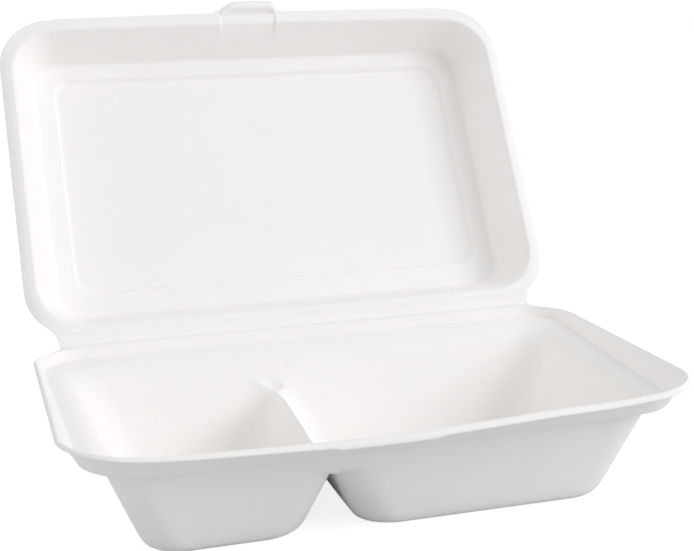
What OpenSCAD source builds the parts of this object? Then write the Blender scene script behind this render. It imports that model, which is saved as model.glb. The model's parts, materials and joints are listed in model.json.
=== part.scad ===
// Hinged two-compartment takeaway box moulded from one sheet of sugar-cane pulp.
// X runs along the fold, the front is at -Y, the fold is at +Y, and the base stands on z = 0.

/* [Box] */
// Length of both rims along the fold
box_w = 248; // [200:1:320]
// Depth of both rims from front to back
box_d = 162; // [130:1:220]
// Height of the base to the crest of its rim
base_h = 52; // [40:1:70]
// Thickness of the sheet in the base
base_t = 1.2; // [0.8:0.1:1.4]
// Thickness of the sheet in the lid
lid_t = 0.5; // [0.4:0.05:0.8]
// Outer corner radius of both rims
corner_r = 25; // [22:1:34]

/* [Rims] */
// How far the outer edge of a rim is turned away from the other rim
edge_turn = 1.3; // [1:0.1:3]
// Distance from the outer edge of a rim to its crest
crest_in = 2.6; // [1.5:0.1:3.2]
// How far the front lip of the base stands out at its middle
lip_bow = 9.5; // [9:0.5:14]
// Share of that bow that the crest follows
crest_bow = 0.85; // [0.5:0.05:0.9]
// How far the front rim of the base sags at its middle
lip_sag = 3.4; // [2.2:0.1:4]

/* [Base] */
// Inset of the crease under the rim, at the front
crease_in_front = 9; // [7:0.1:11]
// Inset of the crease under the rim, at the back
crease_in_back = 4; // [3.6:0.1:7]
// Drop from the crest of the rim to the crease, at the front
crease_drop_front = 10.6; // [7:0.1:12]
// Drop from the crest of the rim to the crease, at the back
crease_drop_back = 4.6; // [3:0.1:7]
// Width of the ledge between the crease and the compartment walls
ledge_w = 6.3; // [4:0.1:8]
// Fall of the ledge towards the compartments
ledge_fall = 1; // [0.4:0.1:2]
// Inset of the foot of the compartment walls
foot_in = 31; // [26:0.5:36]
// Corner radius of the compartments
tub_r = 13.5; // [10:0.5:16]
// Inner radius between the walls and the floor
floor_r = 3.5; // [2.5:0.5:6]

/* [Divider] */
// Place of the divider along the box
divider_x = -21.7; // [-45:0.1:45]
// Height of the divider's ridge at its middle
ridge_z = 28.6; // [24:0.1:31]
// How much the ridge rises in its back half and falls in its front half
ridge_wave = 2.5; // [0.5:0.1:3]
// Half of the gap between the compartments at the foot
foot_gap = 11.5; // [9:0.5:15]
// Upright thickness of the ridge
ridge_t = 2.4; // [1.8:0.1:3]

/* [Lid] */
// Angle from closed at which the lid stands
lid_open = 121.5; // [95:0.1:150]
// Depth of the lid from its rim to the panel
lid_depth = 29.3; // [20:0.1:36]
// Step from the shoulder to the panel
panel_step = 2.5; // [1.5:0.1:4]
// Width of the flat face of the lid's rim
lid_lip = 5.8; // [4.5:0.1:7]
// Inset of the shoulder crease at the sides
shoulder_side = 15; // [12:0.5:18]
// Inset of the shoulder crease at the free edge
shoulder_front = 10; // [9:0.5:13]
// Inset of the shoulder crease at the fold
shoulder_back = 20; // [16:0.5:24]
// Inset of the panel at the sides
panel_side = 26; // [23:0.5:30]
// Inset of the panel at the free edge
panel_front = 20.5; // [17.5:0.5:24]
// Inset of the panel at the fold
panel_back = 31.5; // [28:0.5:36]

/* [Fold] */
// Distance from the rims to the fold
strip_w = 3.2; // [3:0.1:8]
// Distance from each end of the box to the end of the strip
strip_in = 13; // [11:0.5:18]
// Running clearance between the lid and the base
clear = 0.3; // [0.2:0.05:0.5]

/* [Tab and slit] */
// Place of the tab and of the slit along the box
tab_x = -4; // [-12:0.5:30]
// Width of the tab
tab_w = 28; // [20:0.5:34]
// How far the tab stands out past the rim of the lid
tab_out = 6; // [5.5:0.1:8]
// How far the tab is stepped towards the base
tab_step = 1.9; // [1:0.1:2.1]
// How far the tip of the tab is turned down
tab_tip = 1.2; // [0.6:0.1:1.5]
// Depth of the channel that the tab makes in the lid's wall
channel_d = 2.4; // [1:0.1:3]
// How much longer the slit is than the tab
slit_more = 7; // [4:0.5:12]
// How far the middle of the slit lies to the left of the tab's
slit_shift = 4; // [0:0.5:5]
// Play of the tab's tip in the slit, on each side
slit_play = 0.4; // [0.3:0.1:0.8]

/* [Hidden] */
pulp = [0.96, 0.955, 0.94];

half_w = box_w / 2;
half_d = box_d / 2;
fold_y = half_d + strip_w;
fold_z = base_h + clear / 2;
strip_half = half_w - strip_in;
slit_y = -half_d - tab_out + lid_t / 2;
shoulder_drop = lid_depth - panel_step;
channel_drop = shoulder_drop * 0.58;
step_run = 1.6;
edge_steps = 3;
floor_steps = 3;
side_steps = 5;
long_steps = 9;
ridge_steps = 10;
ridge_fillet = 4;
strip_angle = asin(1 - strip_in / corner_r);
corner_angles = [
    for (i = [0:2]) strip_angle * i / 2,
    for (i = [0:4]) strip_angle + 2 + (88 - strip_angle) * i / 4
];

function lerp(a, b, t) = a + (b - a) * t;
function ease(t) = let (u = min(1, max(0, t))) u * u * (3 - 2 * u);
function flip(list) = [for (i = [len(list) - 1:-1:0]) list[i]];
function last(list) = list[len(list) - 1];
function unit(v) = v / norm(v);

// Half of a rounded outline, from the front seam round the far end to the back seam.
function half_ring(seam, near, side, front, back, r) =
    let (
        x1 = half_w - side - r,
        y0 = -half_d + front + r,
        y1 = half_d - back - r,
        x0 = seam + last(near),
        n = long_steps,
        bend = [for (i = [1:len(corner_angles) - 1]) corner_angles[i]],
        unbend = [for (i = [len(corner_angles) - 2:-1:0]) corner_angles[i]]
    )
    concat(
        [for (d = near) [seam + d, y0 - r]],
        [for (i = [1:n]) [lerp(x0, x1, i / n), y0 - r]],
        [for (a = bend) [x1 + r * sin(a), y0 - r * cos(a)]],
        [for (i = [1:side_steps]) [x1 + r, lerp(y0, y1, i / side_steps)]],
        [for (a = unbend) [x1 + r * sin(a), y1 + r * cos(a)]],
        [for (i = [n - 1:-1:0]) [lerp(x0, x1, i / n), y1 + r]],
        [for (i = [len(near) - 2:-1:0]) [seam + near[i], y1 + r]]
    );

// The whole outline: the half on the right, then the mirrored half on the left, back to the start.
function ring(seam, near, side, front, back, r) =
    let (
        right = half_ring(seam, near, side, front, back, r),
        left = half_ring(-seam, near, side, front, back, r),
        n = len(right) - 1
    )
    concat(
        [for (i = [0:n - 1]) right[i]],
        [for (i = [n:-1:1]) [-left[i][0], left[i][1]]]
    );

// A section is a list of [inset, height]. This moves it outwards by t, square to the sheet.
function outer_section(s, t) =
    let (
        n = len(s) - 1,
        normals = [for (i = [0:n - 1]) let (d = unit(s[i + 1] - s[i])) [d[1], -d[0]]]
    )
    [
        for (i = [0:n])
            let (
                a = normals[max(0, i - 1)],
                b = normals[min(n - 1, i)]
            )
            s[i] + t * (a + b) / (1 + a * b)
    ];

// The rounded edge of a rim, from its turned end to the crest.
function edge_rows() = [
    for (i = [0:edge_steps])
        let (a = 90 * i / edge_steps)
        [crest_in * (1 - cos(a)), -edge_turn * (1 - sin(a))]
];

// Faces between neighbouring loops of point numbers.
function loft(loops) = [
    for (j = [0:len(loops) - 2])
        let (n = len(loops[j]))
        for (k = [0:n - 1])
            let (m = (k + 1) % n)
            for (face = [
                [loops[j][k], loops[j][m], loops[j + 1][m]],
                [loops[j][k], loops[j + 1][m], loops[j + 1][k]]
            ])
            face
];

// Closes the last loop with a fan about one more point, number c.
function cap(loop, c) = [for (k = [0:len(loop) - 1]) [loop[k], loop[(k + 1) % len(loop)], c]];
function turned(faces) = [for (f = faces) flip(f)];
function moved(faces, by) = [for (f = faces) [for (i = f) i + by]];

// True where a rim runs out into the strip to the fold.
function on_strip(p) = p[1] > 0 && abs(p[0]) <= strip_half + 0.01;
function strip_y(row) = lerp(fold_y - clear, half_d - crest_in, row / edge_steps);

// Base

ridge_near = [for (i = [0:4]) tub_r * i / 4];
crease_in = (crease_in_front + crease_in_back) / 2;
crease_spread = (crease_in_front - crease_in_back) / 2;

// Draws a ring in or out along the ends of the box, more at the front than at the back.
function spread(p, by) =
    let (share = max(0, (abs(p[0]) - half_w / 2) / (half_w / 2)))
    [p[0] + sign(p[0]) * by * share * p[1] / half_d, p[1]];

// The outer edge bows out in full, the crest by a share of it.
function bow(x, row) = lip_bow * pow(cos(180 * x / box_w), 2) * (row < edge_steps ? 1 : crest_bow);
function sag(p) = lip_sag * pow(cos(180 * p[0] / box_w), 2) * ease((-p[1] - half_d / 2) * 4 / box_d);
function crease_drop(y) = lerp(crease_drop_back, crease_drop_front, 0.5 - y / box_d);

// The rows of the rim: inset, height below the crest, share of the crease's drop, corner radius.
rim_section = concat(
    edge_rows(),
    [
        [crease_in, -crease_drop(0)],
        [crease_in + ledge_w, -crease_drop(0) - ledge_fall]
    ]
);
foot_section = [
    for (i = [0:floor_steps])
        let (a = 90 * i / floor_steps)
        [foot_in + floor_r * (1 - cos(a)), base_t + floor_r * (1 - sin(a)) - base_h]
];
base_section = concat(rim_section, foot_section, [last(foot_section) + [floor_r, 0]]);
base_outer = outer_section(base_section, base_t);
rim_rows = len(rim_section);
foot_rows = len(foot_section);

function rim_radius(row) =
    row <= edge_steps ? corner_r - base_section[row][0]
    : row == edge_steps + 1 ? corner_r - crease_in - 1
    : tub_r;

function rim_point(p, row, skin) =
    let (
        shift = skin * (base_outer[row] - base_section[row]),
        outside = row < edge_steps,
        q = outside ? p : spread(p, row > edge_steps ? crease_spread : 0),
        drop = row > edge_steps ? crease_drop(q[1]) - crease_drop(0) : 0
    )
    outside && on_strip(p)
        ? [p[0], strip_y(row), base_h - skin * base_t]
        : [
            q[0],
            q[1] - (row <= edge_steps && p[1] < 0 ? bow(p[0], row) : 0),
            base_h + base_section[row][1] + shift[1] - drop - sag(p)
        ];

function rim_loop(row, skin) =
    let (
        shift = skin * (base_outer[row] - base_section[row])[0],
        inset = base_section[row][0] + shift,
        flat = ring(divider_x, ridge_near, inset, inset, inset, rim_radius(row) - shift)
    )
    [for (p = flat) rim_point(p, row, skin)];

// The ridge of the divider, from the back to the front, between the two ends of the wall's top.
function ridge_height(y, end_y, end_z) =
    let (
        mid = ridge_z + ridge_wave * sin(180 * y / end_y),
        near_end = max(0, 1 - (end_y - abs(y)) / ridge_fillet)
    )
    lerp(mid, end_z, pow(near_end, 2));

function ridge_loop(back, front, skin) =
    let (
        run = [
            for (i = [1:4]) back[1] - tub_r * i / 4,
            for (i = [1:ridge_steps - 1]) lerp(back[1] - tub_r, front[1] + tub_r, i / ridge_steps),
            for (i = [4:-1:1]) front[1] + tub_r * i / 4
        ]
    )
    [
        for (y = run)
            let (end = y > 0 ? back : front)
            [divider_x, y, ridge_height(y, abs(end[1]), end[2]) - skin * ridge_t]
    ];

// One row of a compartment's foot, for the compartment on the +X side of a divider at x.
function foot_half(x, row, skin) =
    let (
        i = rim_rows + row,
        shift = skin * (base_outer[i] - base_section[i]),
        inset = base_section[i][0] + shift[0],
        gap = foot_gap + floor_r * (1 - cos(90 * row / floor_steps)) + shift[0],
        z = base_h + base_section[i][1] + shift[1],
        r = tub_r - shift[0],
        x0 = x + gap + r,
        y0 = -half_d + inset + r,
        y1 = half_d - inset - r,
        outline = half_ring(x0, [0], inset, inset, inset, r)
    )
    concat(
        [for (a = [45:11.25:78.75]) [x0 - r * cos(a), y0 - r * sin(a), z]],
        [for (p = outline) [p[0], p[1], z]],
        [for (a = [78.75:-11.25:0]) [x0 - r * cos(a), y1 + r * sin(a), z]],
        [for (i = [1:ridge_steps - 1]) [x0 - r, lerp(y1, y0, i / ridge_steps), z]],
        [for (a = [0:11.25:33.75]) [x0 - r * cos(a), y0 - r * sin(a), z]]
    );

function mirrored(loop) = [for (p = loop) [-p[0], p[1], p[2]]];

function base_skin(skin) =
    let (
        rims = [for (row = [0:rim_rows - 1]) rim_loop(row, skin)],
        top = last(rims),
        n = len(top) / 2,
        ridge = ridge_loop(top[n], top[0], skin),
        right = [for (row = [0:foot_rows - 1]) foot_half(divider_x, row, skin)],
        left = [for (row = [0:foot_rows - 1]) mirrored(foot_half(-divider_x, row, skin))],
        z = last(right)[0][2],
        middles = [[(divider_x + half_w) / 2, 0, z], [(divider_x - half_w) / 2, 0, z]]
    )
    concat([for (r = rims) each r], ridge, [for (r = right) each r], [for (r = left) each r], middles);

module base() {
    upper = base_skin(0);
    lower = base_skin(1);
    round_count = len(rim_loop(0, 0));
    half = round_count / 2;
    ridge_start = rim_rows * round_count;
    ridge_count = 7 + ridge_steps;
    loop_count = half + 1 + ridge_count;
    right_start = ridge_start + ridge_count;
    left_start = right_start + foot_rows * loop_count;
    rims = [for (j = [0:rim_rows - 1]) [for (k = [0:round_count - 1]) j * round_count + k]];
    top = last(rims);
    ridge = [for (i = [0:ridge_count - 1]) ridge_start + i];
    right = concat(
        [concat([for (k = [0:half]) top[k]], ridge)],
        [for (j = [0:foot_rows - 1]) [for (i = [0:loop_count - 1]) right_start + j * loop_count + i]]
    );
    left = concat(
        [concat([top[0]], [for (k = [round_count - 1:-1:half]) top[k]], ridge)],
        [for (j = [0:foot_rows - 1]) [for (i = [0:loop_count - 1]) left_start + j * loop_count + i]]
    );
    count = len(upper);
    sheet = concat(
        loft(rims),
        loft(right),
        turned(loft(left)),
        cap(last(right), count - 2),
        turned(cap(last(left), count - 1))
    );
    edge = loft([rims[0], [for (i = rims[0]) i + count]]);
    color(pulp)
    difference() {
        polyhedron(
            points = concat(upper, lower),
            faces = concat(turned(sheet), moved(sheet, count), edge),
            convexity = 8
        );
        slit();
    }
}

// The slit in the front lip, which takes the tip of the tab.
module slit() {
    width = lid_t + 2 * slit_play;
    length = tab_w + slit_more;
    depth = lip_sag + base_t + edge_turn;
    translate([tab_x - slit_shift - length / 2, slit_y - width / 2, base_h - depth])
        cube([length, width, 2 * depth]);
}

// Lid, made closed over the base and then swung open about the fold.

tab_near = [
    for (i = [0:4]) tab_w / 2 * i / 4,
    tab_w / 2 + 1,
    tab_w / 2 + 4,
    tab_w / 2 + 8
];

// The rows of the lid: insets at the ends, the free edge and the fold, drop from the rim, radius.
lid_rows = concat(
    [for (s = edge_rows()) [s[0], s[0], s[0], -s[1], corner_r - s[0]]],
    [
        [lid_lip, lid_lip, lid_lip + 3, 0, corner_r - lid_lip],
        [
            lerp(lid_lip, shoulder_side, 0.58),
            lerp(lid_lip, shoulder_front, 0.58),
            lerp(lid_lip + 3, shoulder_back, 0.58),
            channel_drop,
            corner_r - lid_lip - 4
        ],
        [shoulder_side - 1, shoulder_front - 0.6, shoulder_back - 1, shoulder_drop - 2.5, 15],
        [shoulder_side + 1, shoulder_front + 1.4, shoulder_back + 1.2, shoulder_drop - 0.4, 13],
        [panel_side - 1.6, panel_front - 1.6, panel_back - 1.6, shoulder_drop, 9],
        [panel_side, panel_front, panel_back, lid_depth, 8]
    ]
);
lid_section = [for (r = lid_rows) [r[0], -r[3]]];
lid_outer = outer_section(concat(lid_section, [last(lid_section) + [5, 0]]), lid_t);
lip_row = edge_steps + 1;

// How far the tab stands out, at a distance from its middle.
function tab_reach(d) = tab_out * (1 - 0.42 * ease((d - tab_w / 4) / (tab_w / 4)));

// The tab's own section: distance out from the rim's edge, and step towards the base.
function tab_place(row, d, skin) =
    let (
        out = tab_reach(d),
        tip = d <= tab_w / 4 + 0.01 ? tab_tip : 0,
        face = out - lid_t * (1 - skin)
    )
    row == 0 ? [face, tab_step + tip]
    : row == 1 ? [face, tab_step - skin * lid_t - 0.01]
    : row == 2 ? [out * 0.3 + step_run, tab_step - skin * lid_t]
    : [out * 0.3, -skin * lid_t];

function lid_point(p, row, skin) =
    let (
        shift = skin * (lid_outer[row] - lid_section[row]),
        d = abs(p[0] - tab_x),
        front = p[1] < 0,
        level = base_h + clear,
        tab = front && d <= tab_w / 2 + 0.01,
        skirt = front && !tab ? 1 - ease((d - tab_w / 2) / 8) : 0,
        channel = tab && row == lip_row ? channel_d : 0
    )
    row < edge_steps && on_strip(p)
        ? [p[0], strip_y(row), level + skin * lid_t]
    : tab && row <= edge_steps
        ? let (at = tab_place(row, d, skin))
          [p[0], -half_d - at[0], level - at[1]]
    : [
        p[0],
        p[1] - channel - (row < edge_steps ? skirt * tab_out * 0.4 : 0),
        level - lid_section[row][1] - shift[1]
    ];

function lid_loop(row, skin) =
    let (
        shift = skin * (lid_outer[row] - lid_section[row])[0],
        r = lid_rows[row],
        flat = ring(tab_x, tab_near, r[0] + shift, r[1] + shift, r[2] + shift, r[4] - shift)
    )
    [for (p = flat) lid_point(p, row, skin)];

function lid_skin(skin) = concat(
    [for (row = [0:len(lid_rows) - 1]) each lid_loop(row, skin)],
    [[0, 0, last(lid_loop(len(lid_rows) - 1, skin))[2]]]
);

module lid_closed() {
    inner = lid_skin(0);
    outer = lid_skin(1);
    n = len(lid_loop(0, 0));
    count = len(inner);
    loops = [for (j = [0:len(lid_rows) - 1]) [for (k = [0:n - 1]) j * n + k]];
    sheet = concat(loft(loops), cap(last(loops), count - 1));
    edge = loft([loops[0], [for (i = loops[0]) i + count]]);
    polyhedron(
        points = concat(inner, outer),
        faces = concat(sheet, turned(moved(sheet, count)), turned(edge)),
        convexity = 8
    );
}

module lid() {
    color(pulp)
    translate([0, fold_y, fold_z])
    rotate([-lid_open, 0, 0])
    translate([0, -fold_y, -fold_z])
        lid_closed();
}

base();
lid();
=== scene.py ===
import json
import math

import bpy
import numpy as np
from mathutils import Matrix, Vector


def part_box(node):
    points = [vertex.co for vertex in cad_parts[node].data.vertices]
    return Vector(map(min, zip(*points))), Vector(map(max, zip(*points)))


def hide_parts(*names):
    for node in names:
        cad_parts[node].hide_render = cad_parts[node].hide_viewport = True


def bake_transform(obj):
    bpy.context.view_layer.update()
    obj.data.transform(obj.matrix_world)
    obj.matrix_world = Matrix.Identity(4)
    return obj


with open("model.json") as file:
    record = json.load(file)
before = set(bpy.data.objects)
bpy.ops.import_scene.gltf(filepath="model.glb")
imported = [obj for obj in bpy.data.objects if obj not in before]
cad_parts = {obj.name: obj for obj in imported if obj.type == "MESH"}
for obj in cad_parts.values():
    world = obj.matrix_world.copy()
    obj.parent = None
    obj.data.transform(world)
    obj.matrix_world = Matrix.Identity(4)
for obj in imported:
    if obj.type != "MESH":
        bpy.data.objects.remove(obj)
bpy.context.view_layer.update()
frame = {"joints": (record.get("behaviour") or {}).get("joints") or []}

# Driving sizes: lengths in millimetres, and a few ratios. Those that the solids know come from the frame.

MM = 0.001
hinge = frame["joints"][0]
fold_y = hinge["pos_m"][1] / MM
fold_z = hinge["pos_m"][2] / MM
lid_open = math.radians(-hinge["range_deg"][0])
base_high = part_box("base")[1]
half_w = base_high.x / MM
crest_z = base_high.z / MM

# The outline that both halves share, and the sheet's thickness, which changes over at the fold
strip_w = 3.2
half_d = fold_y - strip_w
corner_r = 25.0
corner_push = 0.9
base_t = 0.8
lid_t = 0.55
change_over = 3.0

# The base's rim: its turned edge, its crest, and the front lip's bow in plan and sag in height
edge_turn_left = 1.5
edge_turn_right = 2.1
edge_turn_side = 1.3
edge_turn_from = -110.0
edge_turn_to = 20.0
crest_in = 1.3
lip_bow = 9.5
crest_bow = 0.85
lip_sag = 3.4
# The pulp has set a little out of true: places along the front lip, and how far it stands up there
lip_warp = [(-124, 0), (-90, -1.0), (-40, 0), (48, 1.25), (92, 0), (124, 0)]

# The flared band, the ledge at its foot and the walls below
band_curve = 1.35
crease_in_front = 9.0
crease_in_back = 3.0
crease_drop_front = 10.6
crease_drop_back = 4.6
crease_r = 18.0
ledge_w = 6.3
ledge_fall = 1.0
wall_top_r_front = 7.0
wall_top_r_back = 13.0
wall_lean = 0.391
foot_in = 31.9
tub_r = 13.5
tub_r_shrink = 0.6
floor_blend = 6.0

# The divider: its feet, its ridge, and the saddles whose roof rises from the ridge into front and back wall
divider_x = -21.7
foot_gap = 11.8
ridge_z = 28.6
ridge_wave = 2.5
ridge_end = 13.0
ridge_over = 1.0
ridge_blend = 3.0
roof_rise_front = 0.15
roof_rise_back_left = 1.0
roof_rise_back_right = 0.25
roof_blend = 3.0
roof_soft = 2.0
saddle_high = 9.0
saddle_reach = 30.0
saddle_fade = 6.0

# The lid's lip, wider and slightly bowed along its free edge
lid_lip = 5.8
free_lip = 6.8
lid_bow = 1.3
lid_bow_depth = 20.0

# The fold's strip, with its pressed lines, and the straight stretches of the rims
strip_half = 111.0
strip_crease = 0.28
seam_near = 14.0
straight_x = half_w - corner_r

# The tab at the lid's free edge, its flares, and the channel behind it
tab_left = -8.0
tab_right = 5.0
flare_left = 12.5
flare_right = 9.5
bend_left = 1.5
bend_right = 4.0
bend_fade_left = 8.0
bend_fade_right = 4.0
channel_left = -17.4
channel_right = 11.2
channel_side = 1.0
channel_turn = 1.8
channel_turn_in = 0.8
channel_turn_depth = 14.0
channel_d = 0.6
channel_depth = 15.0
channel_sunk = 1.5
channel_sunk_depth = 6.0

# The slit in the base's front lip, and the strip that hangs loose outside it
slit_left = -28.0
slit_right = 9.5
slit_drop = 0.7
slit_taper = 0.95
slit_over = 3.0
slit_fade = 4.0


# Small helpers for shapes

def lerp(a, b, t):
    return a + (b - a) * t


def ease(t):
    u = np.clip(t, 0, 1)
    return u * u * (3 - 2 * u)


def steps(start, end, size):
    """Evenly spaced values from start up to, but without, end."""
    count = max(1, round(abs(end - start) / size))
    return [lerp(start, end, i / count) for i in range(count)]


def soft_max(a, b, blend):
    """The larger of a and b, rounded where they are less than blend apart."""
    share = np.maximum(blend - np.abs(a - b), 0) / blend
    return np.maximum(a, b) + share * share * blend / 4


def soft_min(a, b, blend):
    return -soft_max(-a, -b, blend)


def corner_max(a, b, radius):
    """The larger of a and b, with level lines that turn the corner on an arc of that radius."""
    apart = np.minimum(np.abs(a - b), radius)
    arc = (a + b) / 2 + radius - np.sqrt(2 * radius**2 - apart**2) / 2
    return np.where(np.abs(a - b) < radius, arc, np.maximum(a, b))


def hump(x):
    """1 at the middle of the box's length and 0 at its ends."""
    return np.cos(np.pi * np.clip(x / (2 * half_w), -0.5, 0.5))


# The loop of stations that every ring of both halves follows. It starts at the divider's front end and runs
# round to the right.

neck_side = strip_half - straight_x
neck_deep = fold_y - (half_d - corner_r)
neck_r = (neck_side**2 + neck_deep**2 - corner_r**2) / (2 * (corner_r - neck_side))
neck_turn = math.atan2(neck_deep, neck_side + neck_r)
neck_start = math.degrees(math.asin(neck_side / corner_r))
neck_end = 90 - math.degrees(neck_turn)

# Parts of the loop, and counts of stations: beside the divider, round a corner and a neck, along a side
FRONT, FRONT_CORNER, SIDE, BACK_CORNER, BACK = range(5)
NEAR_COUNT, CORNER_COUNT, NECK_COUNT, SIDE_COUNT = 12, 16, 6, 32
NEAR_CHANNEL = (0, 1.8, 3.2, 3.9, 4.4, 4.9, 5.4, 5.9, 6.4, 7.1, 8.8, 11.2)
# Steps along the straight stretches: plain, in the channel, across its right side and beside the tab
PLAIN_STEP, CHANNEL_STEP, FINE_STEP, TAB_STEP = 2.8, 1.2, 0.36, 1.1
FINE_MARGIN = 0.4
# Degrees at a back corner: from station to station on strip and rim, and over which the flatness fades
STRIP_ANGLE, RIM_ANGLE, FLAT_FADE = 6, 5, 38
ANGLE_SLACK = 0.01


def near_points(sign):
    """Stations beside the divider, closer together on its right, where the channel's left side is."""
    if sign < 0:
        return [divider_x - seam_near * i / NEAR_COUNT for i in range(NEAR_COUNT)]
    return [divider_x + x for x in NEAR_CHANNEL]


def back_angles():
    """Angles at a back corner, from the straight edge to the side: over strip, neck and rim."""
    strip = steps(0, neck_start, STRIP_ANGLE)
    neck = steps(neck_start, neck_end, (neck_end - neck_start) / NECK_COUNT)
    rim = steps(neck_end, 90, RIM_ANGLE)
    return strip + neck + rim + [90.0]


def half_stations(sign):
    """Stations of one half, from the front end of the divider to its back end: (part, value)."""
    end = sign * straight_x
    tab_side = tab_right + flare_right if sign > 0 else divider_x - seam_near
    inner = divider_x + sign * seam_near
    front = near_points(sign)
    if sign > 0:
        fine = channel_right - channel_side - FINE_MARGIN
        beyond = channel_right + FINE_MARGIN
        front += steps(inner, fine, CHANNEL_STEP) + steps(fine, beyond, FINE_STEP)
        front += steps(beyond, tab_side, TAB_STEP)
    front += steps(tab_side, end, PLAIN_STEP)
    back = near_points(sign) + steps(inner, end, PLAIN_STEP)
    angles = back_angles()
    return (
        [(FRONT, x) for x in front]
        + [(FRONT_CORNER, a) for a in steps(0, 90, 90 / CORNER_COUNT)]
        + [(SIDE, f) for f in steps(0, 1, 1 / SIDE_COUNT)]
        + [(BACK_CORNER, a) for a in angles[::-1]]
        + [(BACK, x) for x in back[::-1]]
    )


right_half = half_stations(1)
left_half = half_stations(-1)
stations = [(1, *s) for s in right_half] + [(-1, *s) for s in left_half[-2:0:-1]]
back_seam = len(right_half) - 1
station_sign = np.array([s[0] for s in stations], float)
station_part = np.array([s[1] for s in stations])
station_value = np.array([s[2] for s in stations], float)
station_count = len(stations)

# The stations on the fold, and how flat the sheet lies at each: 1 on the strip, falling to 0 past the necks
back_corner = station_part == BACK_CORNER
on_strip = back_corner & (station_value <= neck_start + ANGLE_SLACK)
on_neck = back_corner & ~on_strip & (station_value < neck_end)
on_fold = (station_part == BACK) | on_strip
flat_share = np.where(
    back_corner,
    1 - ease((station_value - neck_start) / FLAT_FADE),
    (station_part == BACK).astype(float),
)


def along_x(x, end):
    """Moves a station's x as the straight stretch of its ring grows or shrinks to end."""
    reach = np.where(x > divider_x, straight_x - divider_x, straight_x + divider_x)
    wanted = np.where(x > divider_x, end - divider_x, end + divider_x)
    return divider_x + (x - divider_x) * wanted / reach


def ring(side, front, back, radius):
    """One closed ring in plan, inset from the rims' outline, with its own corner radius."""
    end = half_w - side - radius
    low, high = -half_d + front + radius, half_d - back - radius
    turn = np.radians(station_value)
    x = np.select(
        [np.isin(station_part, (FRONT, BACK)), station_part == SIDE],
        [along_x(station_value, end), station_sign * (end + radius)],
        station_sign * (end + radius * np.sin(turn)),
    )
    y = np.select(
        [station_part == part for part in (FRONT, FRONT_CORNER, SIDE, BACK_CORNER)],
        [
            np.full(station_count, low - radius),
            low - radius * np.cos(turn),
            lerp(low, high, station_value),
            high + radius * np.cos(turn),
        ],
        high + radius,
    )
    return np.stack([x, y], axis=1)


def outer_ring():
    """The outline of a half: its rim, and at the back the fold and the two necks beside it."""
    plan = ring(0, 0, 0, corner_r)
    plan[on_fold, 1] = fold_y
    bend = neck_turn * (station_value[on_neck] - neck_start) / (neck_end - neck_start)
    plan[on_neck, 0] = station_sign[on_neck] * (strip_half + neck_r * (1 - np.cos(bend)))
    plan[on_neck, 1] = fold_y - neck_r * np.sin(bend)
    return plan


# Base: its rim is built ring by ring, and its tray is a surface of heights over the plan

def lengthwise(y):
    """0 at the back of the rim and 1 at its front."""
    return np.clip(0.5 - y / (2 * half_d), 0, 1)


def crease_in(y):
    return lerp(crease_in_back, crease_in_front, lengthwise(y))


def crease_drop(y):
    return lerp(crease_drop_back, crease_drop_front, lengthwise(y))


def warp(x):
    """Height by which the front lip stands out of true at x."""
    rise = np.zeros_like(x)
    for (start, low), (end, high) in zip(lip_warp, lip_warp[1:]):
        inside = (x >= start) & (x <= end)
        rise = np.where(inside, lerp(low, high, ease((x - start) / (end - start))), rise)
    return rise


def sag(x, y):
    """How far the rim hangs below its level, over the front quarter of its depth."""
    return (lip_sag * hump(x) - warp(x)) * ease((-y - half_d / 2) * 2 / half_d)


def ledge_height(x, y):
    inset = -corner_max(np.abs(x) - half_w, np.abs(y) - half_d, crease_r)
    fall = ledge_fall * np.clip((inset - crease_in(y)) / ledge_w, 0, 1.5)
    return crest_z - crease_drop(y) - fall - sag(x, y)


def ridge_height(y):
    """The ridge is higher in its back half and lower in its front half."""
    return ridge_z + ridge_wave * np.sin(np.pi * y / (half_d - ridge_end))


def tub_height(x, y, sign):
    """The inner surface of the compartment on one side of the divider."""
    across = (np.abs(y) - (half_d - foot_in)) / wall_lean
    outer = (sign * x - (half_w - foot_in)) / wall_lean
    apart = sign * (x - divider_x)
    ridge = ridge_height(y)
    inner = (ridge + ridge_over) * (1 - apart / foot_gap)
    wall = corner_max(np.maximum(outer, inner), across, tub_r / wall_lean)
    rise_back = np.where(x < divider_x, roof_rise_back_left, roof_rise_back_right)
    spread = np.sqrt(apart**2 + roof_soft**2) - roof_soft
    roof = ridge + lerp(rise_back, roof_rise_front, lengthwise(y)) * spread
    roof = soft_max(roof, across, roof_blend)
    near = ease((inner + tub_r / wall_lean - np.maximum(outer, across)) / saddle_high)
    near = near * ease((saddle_reach - np.abs(apart)) / saddle_fade)
    wall = lerp(wall, soft_min(wall, roof, ridge_blend), near)
    return soft_max(wall, base_t, floor_blend)


def rounded_min(wall, ledge, wall_top_r):
    """The lower of wall and ledge, with the corner between them rounded to wall_top_r."""
    flat, steep = math.atan(ledge_fall / ledge_w), math.atan(1 / wall_lean)
    reach = wall_top_r * math.tan((steep - flat) / 2)
    past = (ledge - wall) / (math.tan(steep) - math.tan(flat))
    centre_x = -reach * math.cos(flat) - wall_top_r * math.sin(flat)
    centre_z = reach * math.sin(flat) - wall_top_r * math.cos(flat)
    arc = centre_z + np.sqrt(np.maximum(wall_top_r**2 - (past - centre_x) ** 2, 0))
    corner = np.minimum(-math.tan(flat) * past, -math.tan(steep) * past)
    inside = (past > -reach * math.cos(flat)) & (past < reach * math.cos(steep))
    return np.minimum(wall, ledge) - np.where(inside, corner - arc, 0)


def tray_height(x, y):
    both = np.minimum(tub_height(x, y, 1), tub_height(x, y, -1))
    wall_top_r = lerp(wall_top_r_back, wall_top_r_front, lengthwise(y))
    return rounded_min(both, ledge_height(x, y), wall_top_r)


def with_height(plan, height):
    return np.column_stack([plan, height])


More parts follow.
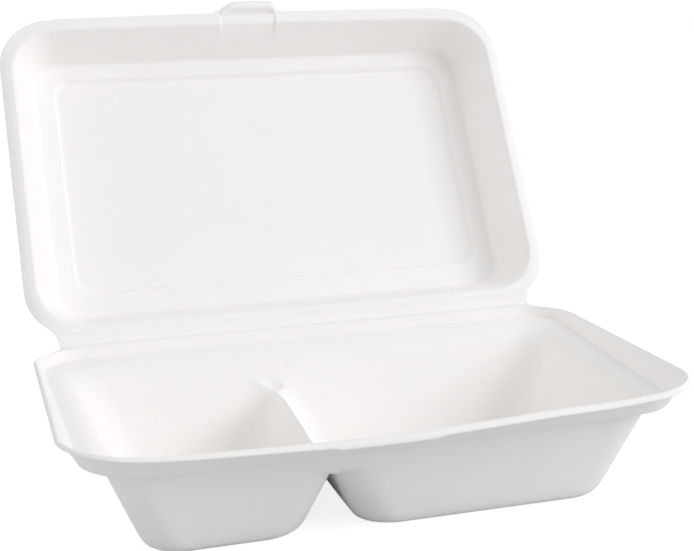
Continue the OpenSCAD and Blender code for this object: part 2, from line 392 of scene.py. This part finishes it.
# Angles of the rim's turned edge, row by row: the slit lies past one row, the pressed line on another
EDGE_TURNS = [0, 12, 26, 44, 46, 54, 62, 72, 80, 86, 90]
SLIT_ROW = 3
PRESSED_ROW = 7
# Rows down the flared band, over the ledge, down the walls and across the floors
BAND_SHARES = [0.02, 0.07, 0.16, 0.3, 0.46, 0.64, 0.82, 0.94, 1.0]
LEDGE_SHARES = [0.05, 0.2, 0.4, 0.55, 0.63, 0.69, 0.75, 0.81, 0.87, 0.92, 0.96, 1.0]
WALL_SHARES = [0.015, 0.03, 0.045, 0.065, 0.09, 0.12, 0.16, 0.2, 0.24, 0.28, 0.32, 0.36, 0.41, 0.47, 0.54]
WALL_SHARES += [0.62, 0.7, 0.78, 0.85, 0.91, 0.96, 1.0]
FLOOR_INSETS = [1.2, 2.6, 4.2, 6.5, 10.0]
FLOOR_SHARES = [0.25, 0.5, 0.75]


def tapered_ring(front, back, radius):
    """A ring whose inset grows from back to front, in its sides too."""
    plan = ring((front + back) / 2, front, back, radius)
    end = np.clip(np.abs(plan[:, 0]) / half_w * 2 - 1, 0, 1)
    plan[:, 0] += np.sign(plan[:, 0]) * end * (front - back) / 2 * plan[:, 1] / half_d
    return plan


def crease_ring():
    return tapered_ring(crease_in_front, crease_in_back, crease_r)


def wall_top_ring():
    """The line along which the ledge's plane meets the walls'."""
    front = foot_in - wall_lean * (crest_z - crease_drop_front - ledge_fall)
    back = foot_in - wall_lean * (crest_z - crease_drop_back - ledge_fall)
    plan = tapered_ring(front, back, tub_r)
    plan[:, 1] += np.where(plan[:, 1] < 0, wall_lean * sag(*plan.T), 0)
    return plan


def rim_crest():
    plan = ring(crest_in, crest_in, crest_in, corner_r - crest_in)
    front = plan[:, 1] < 0
    plan[:, 1] -= np.where(front, crest_bow * lip_bow * hump(plan[:, 0]), 0) * front_share(plan)
    return plan


def front_share(plan):
    """1 along the front of a ring, falling to 0 at its sides."""
    return ease((-plan[:, 1] - (half_d - corner_r)) / (corner_r * 0.8))


def edge_turn(plan):
    """How far the rim's edge turns down: most at the right of the front lip."""
    along = (plan[:, 0] - edge_turn_from) / (edge_turn_to - edge_turn_from)
    front = lerp(edge_turn_left, edge_turn_right, ease(along))
    return lerp(edge_turn_side, front, front_share(plan))


def pushed_out(plan):
    """The rear left corner of the rim stands out a little further than its arc."""
    turn = (station_value - neck_end) / (90 - neck_end)
    out = np.where(back_corner & (station_sign < 0), np.sin(np.pi * np.clip(turn, 0, 1)), 0)
    plan[:, 0] -= corner_push * out * np.sin(np.radians(station_value))
    plan[:, 0] = np.maximum(plan[:, 0], -half_w)
    plan[:, 1] += corner_push * out * np.cos(np.radians(station_value))
    return plan


def base_rim():
    """Rings from the rim's turned edge, over its crest and down to the crease."""
    crest = pushed_out(rim_crest())
    outline = pushed_out(outer_ring())
    outline[:, 1] -= lip_bow * hump(outline[:, 0]) * front_share(outline) * (outline[:, 1] < 0)
    rows = []
    loose = slit_share(outline[:, 0]) * (station_part == FRONT)
    for i, turn in enumerate(EDGE_TURNS):
        turn = math.radians(turn)
        plan = lerp(crest, outline, math.cos(turn))
        drop = edge_turn(outline) * (1 - math.sin(turn)) * (1 - flat_share)
        lift = (fold_z - crest_z) * flat_share * math.cos(turn)
        if i <= SLIT_ROW:
            drop = drop + slit_drop * loose * (1 - slit_taper * i / SLIT_ROW)
        if i == PRESSED_ROW:
            drop = drop + strip_crease * flat_share
        rows.append(with_height(plan, crest_z - drop + lift - sag(*plan.T)))
    crease = crease_ring()
    for share in BAND_SHARES:
        plan = lerp(crest, crease, share)
        drop = crease_drop(plan[:, 1]) * share**band_curve
        rows.append(with_height(plan, crest_z - drop - sag(*plan.T)))
    return rows


def foot_loop(sign, extra):
    """The foot of one compartment, station by station: the rim's half loop, then the divider's side."""
    radius = tub_r - extra * tub_r_shrink
    inner = divider_x + sign * (foot_gap + extra)
    outer = sign * (half_w - foot_in - extra)
    low = -half_d + foot_in + extra
    points = []
    half = right_half if sign > 0 else left_half
    for i, (part, value) in enumerate(half):
        if part in (FRONT, BACK):
            face = -1 if part == FRONT else 1
            near = i if part == FRONT else len(half) - 1 - i
            if near < NEAR_COUNT:
                turn = math.radians(45 + 45 * near / NEAR_COUNT)
                x = inner + sign * radius * (1 - math.cos(turn))
                y = radius * (1 - math.sin(turn))
            else:
                start = divider_x + sign * seam_near
                share = (value - start) / (sign * straight_x - start)
                x = lerp(inner + sign * radius, outer - sign * radius, share)
                y = 0
            points.append((x, face * (-low - y)))
        elif part == SIDE:
            points.append((outer, lerp(low + radius, -low - radius, value)))
        else:
            face = -1 if part == FRONT_CORNER else 1
            turn = math.radians(value)
            x = outer - sign * radius * (1 - math.sin(turn))
            points.append((x, face * (-low - radius * (1 - math.cos(turn)))))
    for share in ridge_shares:
        if share < 0:
            turn = math.radians(-45 * share)
            x = inner + sign * radius * (1 - math.cos(turn))
            points.append((x, -low - radius * (1 - math.sin(turn))))
        elif share > 1:
            turn = math.radians(45 * (share - 1))
            x = inner + sign * radius * (1 - math.cos(turn))
            points.append((x, low + radius * (1 - math.sin(turn))))
        else:
            points.append((inner, lerp(-low - radius, low + radius, share)))
    return np.array(points)


# Places along the ridge: below 0 and above 1 they lie in the corners at its back and front end
RIDGE_COUNT = 30
ridge_shares = (
    [-1 + i / NEAR_COUNT for i in range(1, NEAR_COUNT)]
    + steps(0, 1, 1 / RIDGE_COUNT)
    + [1.0]
    + [1 + i / NEAR_COUNT for i in range(1, NEAR_COUNT)]
)


def ridge_line(back_y, front_y):
    """Plan points of the divider's ridge, from its back end to its front end."""
    y = []
    for share in ridge_shares:
        if share < 0:
            y.append(back_y - seam_near * (1 + share))
        elif share > 1:
            y.append(front_y + seam_near * (2 - share))
        else:
            y.append(lerp(back_y - seam_near, front_y + seam_near, share))
    return np.column_stack([np.full(len(y), divider_x), y])


class Sheet:
    """One skin of the moulded sheet, gathered grid by grid."""

    def __init__(self):
        self.points = []
        self.faces = []
        self.total = 0

    def add(self, points):
        points = np.asarray(points, float)
        numbers = np.arange(self.total, self.total + len(points))
        self.points.append(points)
        self.total += len(points)
        return numbers

    def loft(self, first, second, flip=False, skip=None):
        """Quads between two closed loops of point numbers."""
        a, b = first, np.roll(first, -1)
        c, d = np.roll(second, -1), second
        quads = np.stack([a, b, c, d], axis=1)
        if skip is not None:
            quads = quads[~skip]
        if flip:
            quads = quads[:, ::-1]
        self.faces += quads.tolist()

    def fan(self, loop, centre, flip=False):
        for a, b in zip(loop, np.roll(loop, -1)):
            self.faces.append([centre, b, a] if flip else [a, b, centre])


def add_base(sheet):
    """The rim and ledge all round, then each compartment's walls and floor."""
    rows = [sheet.add(row) for row in base_rim()]
    slit = slit_columns()
    for i in range(len(rows) - 1):
        sheet.loft(rows[i], rows[i + 1], skip=slit if i == SLIT_ROW else None)
    last = rows[-1]
    crease, wall_top = crease_ring(), wall_top_ring()
    for share in LEDGE_SHARES:
        plan = lerp(crease, wall_top, share)
        row = sheet.add(with_height(plan, tray_height(plan[:, 0], plan[:, 1])))
        sheet.loft(last, row)
        last, top = row, plan
    ridge_plan = ridge_line(top[back_seam, 1], top[0, 1])
    ridge = sheet.add(with_height(ridge_plan, tray_height(*ridge_plan.T)))
    right = np.concatenate([last[: back_seam + 1], ridge])
    right_plan = np.concatenate([top[: back_seam + 1], ridge_plan])
    left = np.concatenate([last[:1], last[: back_seam - 1 : -1], ridge])
    left_plan = np.concatenate([top[:1], top[: back_seam - 1 : -1], ridge_plan])
    for sign, loop, plan in ((1, right, right_plan), (-1, left, left_plan)):
        foot = foot_loop(sign, 0)
        flip = sign < 0
        for share in WALL_SHARES:
            level = lerp(plan, foot, share)
            row = sheet.add(with_height(level, tray_height(*level.T)))
            sheet.loft(loop, row, flip)
            loop = row
        for extra in FLOOR_INSETS:
            level = foot_loop(sign, extra)
            row = sheet.add(with_height(level, tray_height(*level.T)))
            sheet.loft(loop, row, flip)
            loop = row
        middle = np.array([(level[:, 0].min() + level[:, 0].max()) / 2, 0.0])
        for share in FLOOR_SHARES:
            inner = lerp(level, middle, share)
            row = sheet.add(with_height(inner, tray_height(*inner.T)))
            sheet.loft(loop, row, flip)
            loop = row
        centre = sheet.add([[*middle, base_t]])[0]
        sheet.fan(loop, centre, flip)


def slit_share(x):
    """1 along the slit, where the strip outside it hangs loose, falling to 0 past its ends."""
    left = ease((x - slit_left + slit_over) / slit_fade)
    return left * ease((slit_right + slit_over - x) / slit_fade)


def slit_columns():
    """The columns of faces that the slit takes out of its row."""
    x = ring(0, 0, 0, corner_r)[:, 0]
    ahead = np.roll(x, -1)
    inside = (np.minimum(x, ahead) >= slit_left) & (np.maximum(x, ahead) <= slit_right)
    return inside & (station_part == FRONT)


# Lid: rings from its turned edge to the middle of its panel, in the closed place

LID_KEYS = [
    # side, free edge, hinge side, depth, corner radius, softness
    (4.0, 4.0, 4.0, 0.5, corner_r - 4.0, 0),
    (lid_lip, free_lip, lid_lip, 0.0, 21.0, 1.5),
    (15.8, 11.5, 18.0, 25.8, 13.0, 1.4),
    (24.7, 19.0, 30.1, 27.1, 9.6, 0.4),
    (26.2, 20.4, 31.6, 29.2, 8.4, 0.5),
    (29.2, 23.4, 34.6, 29.2, 7.4, 0),
]
# Rows along a stretch that is longer than LONG_STRETCH, round a curve and across the panel
LONG_STRETCH = 12
WALL_ROWS = [0.08, 0.2, 0.34, 0.48, 0.62, 0.76, 0.88]
CURVE_ROWS = [0, 0.33, 0.67, 1]
PANEL_ROWS = [0.12, 0.3, 0.5, 0.75]
# Rows no deeper than this lie level with the strip beside the fold
LIP_DEPTH = 0.55


def soft_section(keys):
    """The keys joined by straight stretches, with a small curve at each corner."""
    keys = [np.array(k, float) for k in keys]
    rows = [keys[0][:5]]
    for before, key, after in zip(keys, keys[1:], keys[2:]):
        soft = key[5]
        into = (key - before)[:5]
        out = (after - key)[:5]
        start = key[:5] - into * min(0.5, soft / max(np.hypot(into[0], into[3]), 1e-6))
        end = key[:5] + out * min(0.5, soft / max(np.hypot(out[0], out[3]), 1e-6))
        gap = start - rows[-1]
        if np.hypot(gap[0], gap[3]) > LONG_STRETCH:
            rows += [lerp(rows[-1], start, t) for t in WALL_ROWS]
        for t in CURVE_ROWS:
            rows.append(lerp(lerp(start, key[:5], t), lerp(key[:5], end, t), t))
    rows.append(keys[-1][:5])
    return rows


# Rows of the lid's rim, from its edge inwards: insets, depths at the sides and depths at the free edge
RIM_INSETS = [0, 0.08, 0.25, 0.5, 0.9, 1.5, 2.2, 2.8, 3.2, 3.6, 4.0]
RIM_DEPTHS = [2.6, 2.35, 2.12, 1.98, 1.75, 1.45, 1.1, 0.8, 0.7, 0.6, 0.5]
FREE_DEPTHS = [1.6, 1.38, 1.2, 1.08, 1.0, 1.02, 1.2, 1.15, 1.0, 0.85, 0.7]
# The same rows where the tab stands out of the free edge
TAB_INSETS = [-4.0, -3.7, -3.0, -2.0, -1.2, -0.86, -0.65, -0.35, -0.1, 0.1, 2.6]
TAB_DEPTHS = [-2.2, -2.05, -1.95, -1.85, -1.78, -1.6, -1.1, -0.1, 0.95, 1.4, 1.5]
# How far each row's ends follow the channel's steep sides instead of the tab's flares
TAB_SIDES = [0, 0, 0, 0, 0, 0.3, 0.6, 0.85, 1, 1, 1]
STRIP_ROW = 8


def tab_reach(x):
    """1 over the tab's full reach, falling to 0 along the flares beside it."""
    beside = np.maximum((tab_left - x) / flare_left, (x - tab_right) / flare_right)
    return 1 - np.clip(beside, 0, 1) ** 2


def tab_bend(x):
    """1 where the tab's lip stands below the rim, falling to 0 within the flares."""
    left = 1 - ease((tab_left - bend_left - x) / bend_fade_left)
    return left * (1 - ease((x - tab_right - bend_right) / bend_fade_right))


def channel_share(x, turn):
    """1 in the channel behind the tab, with steep sides: turn moves the left one."""
    left = channel_left + turn
    return ease((x - left) / channel_side) * ease((channel_right - x) / channel_side)


def add_lid(sheet):
    """The lid from its edge to the middle of its panel, drawn closed and swung open."""
    level = fold_z + (fold_z - crest_z)
    free = station_part == FRONT
    rows = []
    outline = outer_ring()
    crest = ring(lid_lip, lid_lip, lid_lip, corner_r - lid_lip)
    tab = tab_reach(outline[:, 0]) * free
    last = len(RIM_INSETS) - 1
    table = zip(RIM_INSETS, RIM_DEPTHS, FREE_DEPTHS, TAB_INSETS, TAB_DEPTHS, TAB_SIDES)
    for i, (rim_in, side_deep, free_deep, tab_in, tab_deep, tab_side) in enumerate(table):
        plan = lerp(outline, crest, rim_in / lid_lip)
        plan[:, 1] -= (rim_in - tab_in) * tab + lid_bow * hump(plan[:, 0]) * free
        rim_deep = lerp(side_deep, free_deep, front_share(outline))
        channel = channel_share(outline[:, 0], channel_turn * (1 - i / last))
        bent = lerp(tab_bend(outline[:, 0]), channel, tab_side) * free
        depth = lerp(rim_deep, tab_deep, bent)
        lift = (fold_z - level) * flat_share * (1 - rim_in / lid_lip)
        if i == STRIP_ROW:
            lift = lift + strip_crease * flat_share
        rows.append(with_height(plan, level + depth * (1 - flat_share) + lift))
    for side, front, back, depth, radius in soft_section(LID_KEYS)[1:]:
        plan = ring(side, front, back, radius)
        turn = channel_turn * channel_turn_in * ease(depth / channel_turn_depth)
        channel = channel_share(outline[:, 0], turn) * free
        bow = lid_bow * hump(plan[:, 0]) * free * (1 - ease(depth / lid_bow_depth))
        plan[:, 1] -= bow + channel_d * channel * (1 - ease(depth / channel_depth))
        sunk = channel_sunk * channel * (1 - ease(depth / channel_sunk_depth))
        flat = flat_share * (depth < LIP_DEPTH)
        rows.append(with_height(plan, level + depth * (1 - flat) + sunk))
    numbers = [sheet.add(opened(row)) for row in rows]
    for first, second in zip(numbers, numbers[1:]):
        sheet.loft(first, second, flip=True)
    last_plan = rows[-1][:, :2]
    middle = last_plan.mean(axis=0)
    loop = numbers[-1]
    for share in PANEL_ROWS:
        inner = lerp(last_plan, middle, share)
        row = sheet.add(opened(with_height(inner, rows[-1][:, 2])))
        sheet.loft(loop, row, flip=True)
        loop = row
    centre = sheet.add(opened(np.array([[*middle, rows[-1][0, 2]]])))[0]
    sheet.fan(loop, centre, flip=True)


def opened(points):
    """Swings points from the closed place to where the lid stands."""
    y, z = points[:, 1] - fold_y, points[:, 2] - fold_z
    c, s = math.cos(lid_open), math.sin(lid_open)
    return np.column_stack([points[:, 0], fold_y + y * c + z * s, fold_z - y * s + z * c])


# From one skin to a closed sheet

WELD_GAP = 0.001
# Points of the sheet's rounded edge: how far down and how far out, in thicknesses
EDGE_ROUND = ((0.2, 0.2), (0.5, 0.3), (0.8, 0.2))
# Where the sheet is loose: above the feet, below the rim and deep in the lid, and how far it fades there
LOOSE_FEET, LOOSE_RIM, LOOSE_LID, LOOSE_FADE = 3, 8, 4, 8


def weld(points, faces):
    """Joins points that lie together, as those of the two halves do along the fold."""
    keys = np.round(points / WELD_GAP).astype(np.int64)
    _, first, back = np.unique(keys, axis=0, return_index=True, return_inverse=True)
    back = back.ravel()
    faces = [[back[i] for i in face] for face in faces]
    cleaned = []
    for face in faces:
        kept = [p for i, p in enumerate(face) if p != face[i - 1]]
        if len(kept) > 2:
            cleaned.append(kept)
    return points[first], cleaned


def point_normals(points, faces):
    """The mean direction of the faces round each point, by their areas."""
    normals = np.zeros_like(points)
    for size in (3, 4):
        group = np.array([f for f in faces if len(f) == size])
        if not len(group):
            continue
        p = points[group]
        diagonal = np.cross(p[:, 2] - p[:, 0], p[:, -1] - p[:, 1])
        for column in range(size):
            np.add.at(normals, group[:, column], diagonal)
    return normals / np.maximum(np.linalg.norm(normals, axis=1, keepdims=True), 1e-9)


def thickness(points):
    """The base's sheet is thicker than the lid's, and one runs into the other at the fold."""
    y, z = points[:, 1] - fold_y, points[:, 2] - fold_z
    to_lid = y * -math.cos(lid_open) + z * math.sin(lid_open)
    return lerp(base_t, lid_t, ease(to_lid / change_over + 0.5))


def thicken(points, faces):
    """Adds the other skin and a rounded edge all round, with the sheet's thickness between."""
    normals = point_normals(points, faces)
    deep = thickness(points)
    other = points - normals * deep[:, None]
    count = len(points)
    edges = {(face[i - 1], a): True for face in faces for i, a in enumerate(face)}
    border = [(a, b) for a, b in edges if (b, a) not in edges]
    ahead = dict(border)
    behind = {b: a for a, b in border}
    rounded = {}
    extra = []
    for a in ahead:
        run = points[ahead[a]] - points[behind[a]]
        out = np.cross(run, normals[a])
        out /= max(np.linalg.norm(out), 1e-9)
        for k, (down, far) in enumerate(EDGE_ROUND):
            extra.append(points[a] - normals[a] * deep[a] * down + out * deep[a] * far)
            rounded[(a, k)] = 2 * count + len(extra) - 1
    made = [list(f) for f in faces] + [[i + count for i in f[::-1]] for f in faces]
    edge_count = len(EDGE_ROUND)
    for a, b in border:
        chain_a = [a] + [rounded[(a, k)] for k in range(edge_count)] + [a + count]
        chain_b = [b] + [rounded[(b, k)] for k in range(edge_count)] + [b + count]
        for k in range(edge_count + 1):
            made.append([chain_b[k], chain_a[k], chain_a[k + 1], chain_b[k + 1]])
    return np.concatenate([points, other, np.array(extra)]), made


def loose_share(points):
    """1 in the walls and the lid's panel, 0 at the rims, the fold and the feet."""
    y, z = points[:, 1] - fold_y, points[:, 2] - fold_z
    deep = y * math.sin(lid_open) + z * math.cos(lid_open)
    height = points[:, 2]
    in_base = ease((height - LOOSE_FEET) / LOOSE_FADE)
    in_base = in_base * ease((crest_z - LOOSE_RIM - height) / LOOSE_FADE)
    return np.where(y > 0, ease((deep - LOOSE_LID) / LOOSE_FADE), in_base)


def make_mesh(name, points, faces):
    """A mesh that carries each point's place in millimetres, and how loose the sheet is there."""
    mesh = bpy.data.meshes.new(name)
    mesh.from_pydata((points * MM).tolist(), [], [[int(i) for i in f] for f in faces])
    mesh.validate()
    mesh.shade_smooth()
    place = mesh.attributes.new("sheet_place", "FLOAT_VECTOR", "POINT")
    place.data.foreach_set("vector", points.astype(np.float32).ravel())
    loose = mesh.attributes.new("loose", "FLOAT", "POINT")
    loose.data.foreach_set("value", loose_share(points).astype(np.float32))
    thing = bpy.data.objects.new(name, mesh)
    bpy.context.scene.collection.objects.link(thing)
    return thing


# Materials

class Field:
    """An output of a node that can be reckoned with."""

    def __init__(self, tree, socket):
        self.tree = tree
        self.socket = socket

    def slot(self, key):
        """An input of the node that this output belongs to."""
        return self.socket.node.inputs[key]

    def math(self, operation, other, swap=False):
        node = self.tree.nodes.new("ShaderNodeMath")
        node.operation = operation
        for slot, value in zip(node.inputs, (other, self) if swap else (self, other)):
            if isinstance(value, Field):
                self.tree.links.new(value.socket, slot)
            else:
                slot.default_value = value
        return Field(self.tree, node.outputs[0])

    def __add__(self, other):
        return self.math("ADD", other)

    def __sub__(self, other):
        return self.math("SUBTRACT", other)

    def __mul__(self, other):
        return self.math("MULTIPLY", other)

    def __rsub__(self, other):
        return self.math("SUBTRACT", other, swap=True)


class Nodes:
    """The nodes of one tree, for a material, the world or a shape."""

    def __init__(self, tree):
        self.tree = tree
        self.tree.nodes.clear()

    def node(self, kind, settings=None, output=0, **sockets):
        made = self.tree.nodes.new(kind)
        for name, value in (settings or {}).items():
            setattr(made, name, value)
        for name, value in sockets.items():
            slot = made.inputs[name.replace("_", " ")]
            if isinstance(value, Field):
                self.tree.links.new(value.socket, slot)
            else:
                slot.default_value = value
        return Field(self.tree, made.outputs[output]) if made.outputs else None

    def join(self, start, end):
        self.tree.links.new(start.socket, end)

    def noise(self, place, size, detail=2.0, rough=0.5):
        return self.node(
            "ShaderNodeTexNoise",
            Vector=place,
            Scale=1 / size,
            Detail=detail,
            Roughness=rough,
        )


class Finish(Nodes):
    """A material and its nodes."""

    def __init__(self, name):
        self.material = bpy.data.materials.new(name)
        self.material.use_nodes = True
        super().__init__(self.material.node_tree)


# Where the strip's dashes are pressed: their distance from the fold, and how far they reach around there
KNURL_MIDDLE, KNURL_REACH, KNURL_DEEP = 4.5, 5.0, 2.0
PULP_DARK = (0.918, 0.906, 0.906, 1)
PULP_LIGHT = (0.974, 0.966, 0.964, 1)


def near_fold(finish, place):
    """1 on the flat strip above the fold, fading out around it."""
    y = finish.node("ShaderNodeSeparateXYZ", output=1, Vector=place) - fold_y
    z = finish.node("ShaderNodeSeparateXYZ", output=2, Vector=place) - fold_z
    along = y * -math.cos(lid_open) + z * math.sin(lid_open)
    deep = y * math.sin(lid_open) + z * math.cos(lid_open)
    aside = (along - KNURL_MIDDLE).math("ABSOLUTE", 0)
    width = (1.0 - aside * (1 / KNURL_REACH)).math("MAXIMUM", 0)
    return width * (1.0 - deep.math("ABSOLUTE", 0) * (1 / KNURL_DEEP)).math("MAXIMUM", 0)


def knurl(finish, place):
    """Short dashes along the strip, pressed deep in some places and hardly at all in others; the pulp dents
    them and darkens them with painted shade.
    """
    drawn = finish.node("ShaderNodeMapping", Vector=place, Scale=(0.55, 1.5, 1.5))
    dashes = (finish.noise(drawn, 0.9, 1.0) * 5 - 2.4).math("MAXIMUM", 0).math("MINIMUM", 1)
    places = (finish.noise(place, 30.0, 1.0) * 4 - 1.5).math("MAXIMUM", 0).math("MINIMUM", 1)
    return dashes * places


def moulded_pulp():
    """Matte pulp: pale clouds, felt, fine grain, a few long fibres, and the strip's pressed dashes,
    darkened with painted shade.
    """
    finish = Finish("moulded_pulp")
    place = finish.node("ShaderNodeAttribute", {"attribute_name": "sheet_place"}, output=1)
    cloud = finish.noise(place, 26.0, 3.0)
    grain = finish.noise(place, 0.9, 3.0, 0.6)
    felt = finish.noise(place, 3.2, 2.0)
    stretched = finish.node(
        "ShaderNodeMapping", Vector=place, Rotation=(0.5, 0.3, 0.9), Scale=(0.16, 1.0, 1.0)
    )
    fibre = finish.noise(stretched, 0.55, 1.0)
    pressed = near_fold(finish, place) * knurl(finish, place)
    # The dashes darken the colour too: painted shade in their pressed recesses. Their dents come from the
    # bump below.
    shade = cloud * 0.5 + felt * 0.3 + grain * 0.2 - pressed * 0.7
    colour = finish.node("ShaderNodeMix", {"data_type": "RGBA"}, output=2, Factor=shade)
    colour.slot(6).default_value = PULP_DARK
    colour.slot(7).default_value = PULP_LIGHT
    height = grain * 0.5 + felt * 0.35 + fibre * 0.25 - pressed * 1.6
    bump = finish.node("ShaderNodeBump", Strength=0.25, Distance=0.0003, Height=height)
    shader = finish.node(
        "ShaderNodeBsdfPrincipled",
        Base_Color=colour,
        Roughness=0.88,
        Specular_IOR_Level=0.25,
        Normal=bump,
    )
    finish.node("ShaderNodeOutputMaterial", Surface=shader)
    return finish.material


def seen_directly(nodes_of):
    """1 for what the camera sees, also in a gloss or through something clear."""
    camera_ray = nodes_of.node("ShaderNodeLightPath")
    outputs = camera_ray.socket.node.outputs
    for name in ("Is Glossy Ray", "Is Transmission Ray"):
        camera_ray = camera_ray.math("MAXIMUM", Field(nodes_of.tree, outputs[name]))
    return camera_ray


def white_floor():
    """A pale floor that the camera sees almost white, with the box's shadow on it."""
    finish = Finish("white_floor")
    plain = finish.node("ShaderNodeBsdfDiffuse", Color=(0.75, 0.75, 0.75, 1))
    lit = finish.node("ShaderNodeBsdfDiffuse", Color=(0.3, 0.3, 0.3, 1))
    glow = finish.node("ShaderNodeEmission", Color=(1, 1, 1, 1), Strength=0.84)
    seen = finish.node("ShaderNodeAddShader")
    finish.join(lit, seen.slot(0))
    finish.join(glow, seen.slot(1))
    mix = finish.node("ShaderNodeMixShader", Fac=seen_directly(finish))
    finish.join(plain, mix.slot(1))
    finish.join(seen, mix.slot(2))
    finish.node("ShaderNodeOutputMaterial", Surface=mix)
    return finish.material


# The walls and panels, which dry a little uneven

def drying_steps():
    """Geometry nodes that move the sheet's loose parts by smooth patches."""
    tree = bpy.data.node_groups.new("drying", "GeometryNodeTree")
    inputs = [("Sheet", "Geometry"), ("Unevenness", "Float"), ("Patch Size", "Float")]
    for name, kind in inputs + [("Pulp", "Material")]:
        tree.interface.new_socket(name, in_out="INPUT", socket_type="NodeSocket" + kind)
    tree.interface.new_socket("Sheet", in_out="OUTPUT", socket_type="NodeSocketGeometry")
    steps_of = Nodes(tree)
    given = tree.nodes.new("NodeGroupInput")
    raw, uneven, patch, pulp = (Field(tree, given.outputs[i]) for i in range(4))
    named = "GeometryNodeInputNamedAttribute"
    place = steps_of.node(named, {"data_type": "FLOAT_VECTOR"}, Name="sheet_place")
    loose = steps_of.node(named, {"data_type": "FLOAT"}, Name="loose")
    scale = patch.math("DIVIDE", 1.0, swap=True)
    cloud = steps_of.node("ShaderNodeTexNoise", output=1, Vector=place, Scale=scale, Detail=1.0)
    way = steps_of.node("ShaderNodeVectorMath", {"operation": "SUBTRACT"})
    steps_of.join(cloud, way.slot(0))
    way.slot(1).default_value = (0.5, 0.5, 0.5)
    far = steps_of.node("ShaderNodeVectorMath", {"operation": "SCALE"}, Scale=uneven * loose)
    steps_of.join(way, far.slot(0))
    moved = steps_of.node("GeometryNodeSetPosition", Geometry=raw, Offset=far)
    solid = steps_of.node("GeometryNodeRealizeInstances", Geometry=moved)
    done = steps_of.node("GeometryNodeSetMaterial", Geometry=solid, Material=pulp)
    steps_of.join(done, tree.nodes.new("NodeGroupOutput").inputs[0])
    return tree


def dry(thing, unevenness, patch_size, pulp):
    """Runs the drying steps and keeps their plain mesh."""
    wanted = {"Unevenness": unevenness * MM, "Patch Size": patch_size, "Pulp": pulp}
    steps_of = thing.modifiers.new("drying", "NODES")
    steps_of.node_group = drying_steps()
    for item in steps_of.node_group.interface.items_tree:
        if item.in_out == "INPUT" and item.name in wanted:
            steps_of[item.identifier] = wanted[item.name]
    made = thing.evaluated_get(bpy.context.evaluated_depsgraph_get())
    mesh = bpy.data.meshes.new_from_object(made)
    thing.modifiers.clear()
    thing.data = mesh


# The box

sheet = Sheet()
add_base(sheet)
add_lid(sheet)
points, faces = weld(np.concatenate(sheet.points), sheet.faces)
points, faces = thicken(points, faces)
box = make_mesh("pulp_box", points, faces)
dry(box, unevenness=0.8, patch_size=34.0, pulp=moulded_pulp())
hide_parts("base", "lid")
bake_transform(box)

# Floor, lights and camera

bpy.ops.mesh.primitive_plane_add(size=12)
floor = bpy.context.object
floor.name = "floor"
floor.data.materials.append(white_floor())
LIGHTS_AIM = Vector((0, 0.05, 0.08))


def soft_light(name, place, size, power):
    """A square lamp of that size in metres and power in watts, turned to the box."""
    lamp = bpy.data.lights.new(name, "AREA")
    lamp.shape = "SQUARE"
    lamp.size = size
    lamp.energy = power
    thing = bpy.data.objects.new(name, lamp)
    thing.location = place
    aim = LIGHTS_AIM - Vector(place)
    thing.rotation_euler = aim.to_track_quat("-Z", "Y").to_euler()
    bpy.context.scene.collection.objects.link(thing)


soft_light("key", (1.6, -1.4, 1.2), 1.2, 23.4)
soft_light("left", (-2.2, 0.0, 0.9), 1.2, 6.8)
soft_light("low", (2.2, -0.6, 0.25), 1.0, 2.5)
soft_light("top", (0.0, 0.1, 2.2), 2.0, 2.6)

scene = bpy.context.scene
world = bpy.data.worlds.new("studio")
world.use_nodes = True
scene.world = world
studio = Nodes(world.node_tree)
room = studio.node("ShaderNodeBackground", Color=(1, 0.985, 0.96, 1), Strength=0.57)
white = studio.node("ShaderNodeBackground", Color=(1, 1, 1, 1), Strength=1.0)
both = studio.node("ShaderNodeMixShader", Fac=seen_directly(studio))
studio.join(room, both.slot(1))
studio.join(white, both.slot(2))
studio.node("ShaderNodeOutputWorld", Surface=both)

# The camera as fitted to the photo, with its sizes in pixels
camera_place = Vector((-151.53, -589.98, 211.13)) * MM
camera_yaw, camera_pitch, camera_roll = (math.radians(a) for a in (-18.45, -12.24, 1.2))
focal_px = 1515.1
middle_px = (454.3, 300.1)
photo_size = (694, 551)
camera_data = bpy.data.cameras.new("camera")
camera = bpy.data.objects.new("camera", camera_data)
scene.collection.objects.link(camera)
scene.camera = camera
camera_data.sensor_width = 36
camera_data.lens = focal_px * camera_data.sensor_width / photo_size[0]
camera_data.shift_x = (photo_size[0] / 2 - middle_px[0]) / photo_size[0]
camera_data.shift_y = (middle_px[1] - photo_size[1] / 2) / photo_size[0]
camera_data.clip_start = 0.01
camera_data.clip_end = 50
camera.matrix_world = (
    Matrix.Translation(camera_place)
    @ Matrix.Rotation(camera_yaw, 4, "Z")
    @ Matrix.Rotation(camera_pitch, 4, "X")
    @ Matrix.Rotation(camera_roll, 4, "Y")
    @ Matrix.Rotation(math.radians(90), 4, "X")
)
scene.view_settings.view_transform = "Standard"
